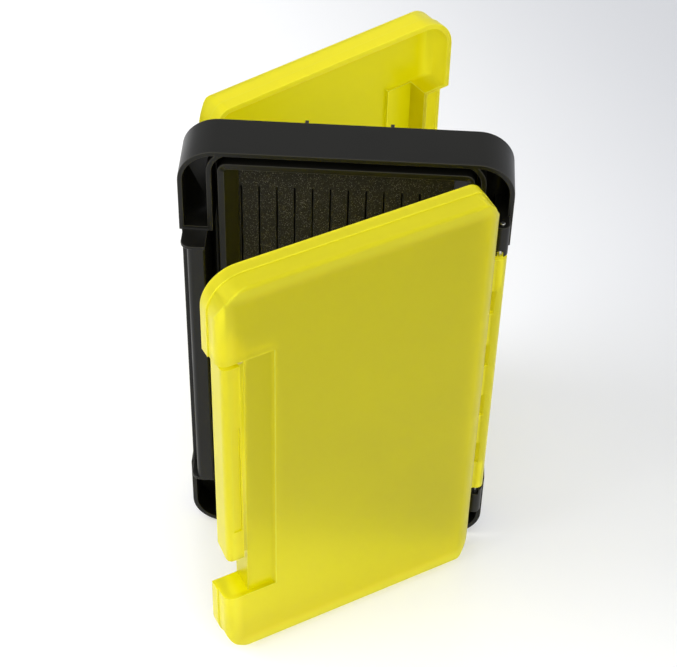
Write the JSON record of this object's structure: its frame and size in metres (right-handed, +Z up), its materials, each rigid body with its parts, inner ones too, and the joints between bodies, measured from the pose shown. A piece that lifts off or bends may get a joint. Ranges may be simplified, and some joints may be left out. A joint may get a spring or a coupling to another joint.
{
  "type": "lure box",
  "caption": "Slim two-sided lure box standing on end, with a hinged see-through lid and a snap latch flap on each face, slit foam in front and dividers behind.",
  "frame": {"origin": "centre of the flat lower end of the case, on the surface that it stands on", "axes": "+Z up along the case's long side, +X towards the front lid's hinge, +Y from the front lid towards the back lid"},
  "size_m": [0.105, 0.1487, 0.175],
  "materials": {
    "case_black": "moulded polypropylene, fine matt texture outside",
    "lid_yellow": "frosted see-through polypropylene",
    "slit_foam": "closed-cell foam with an open speckled face",
    "divider_black": "moulded polypropylene, smooth",
    "pin_steel": "drawn stainless wire"
  },
  "bodies": {
    "case": {"case_body": "case_black", "slit_foam": "slit_foam", "long_divider_left": "divider_black", "long_divider_right": "divider_black", "cross_divider_1": "divider_black", "cross_divider_2": "divider_black", "cross_divider_3": "divider_black", "cross_divider_4": "divider_black", "cross_divider_5": "divider_black", "cross_divider_6": "divider_black", "front_hinge_pin_lower": "pin_steel", "front_hinge_pin_upper": "pin_steel", "back_hinge_pin_lower": "pin_steel", "back_hinge_pin_upper": "pin_steel"},
    "front_lid": {"front_lid": "lid_yellow", "front_latch_film": "lid_yellow"},
    "front_latch": {"front_latch": "lid_yellow"},
    "back_lid": {"back_lid": "lid_yellow", "back_latch_film": "lid_yellow"},
    "back_latch": {"back_latch": "lid_yellow"}
  },
  "joints": [
    {"name": "front_lid_hinge", "type": "hinge", "parent": "case", "child": "front_lid", "pos_m": [0.0493, -0.0121, 0.0875], "axis": [0, 0, 1], "range_deg": [-30.87, 144.13]},
    {"name": "front_latch_hinge", "type": "hinge", "parent": "front_lid", "child": "front_latch", "pos_m": [-0.02811, -0.06455, 0.09675], "axis": [0, 0, 1], "range_deg": [0, 100]},
    {"name": "back_lid_hinge", "type": "hinge", "parent": "case", "child": "back_lid", "pos_m": [-0.0493, 0.0121, 0.0875], "axis": [0, 0, 1], "range_deg": [-38.9, 136.1]},
    {"name": "back_latch_hinge", "type": "hinge", "parent": "back_lid", "child": "back_latch", "pos_m": [0.02002, 0.07485, 0.09675], "axis": [0, 0, 1], "range_deg": [0, 100]}
  ]
}
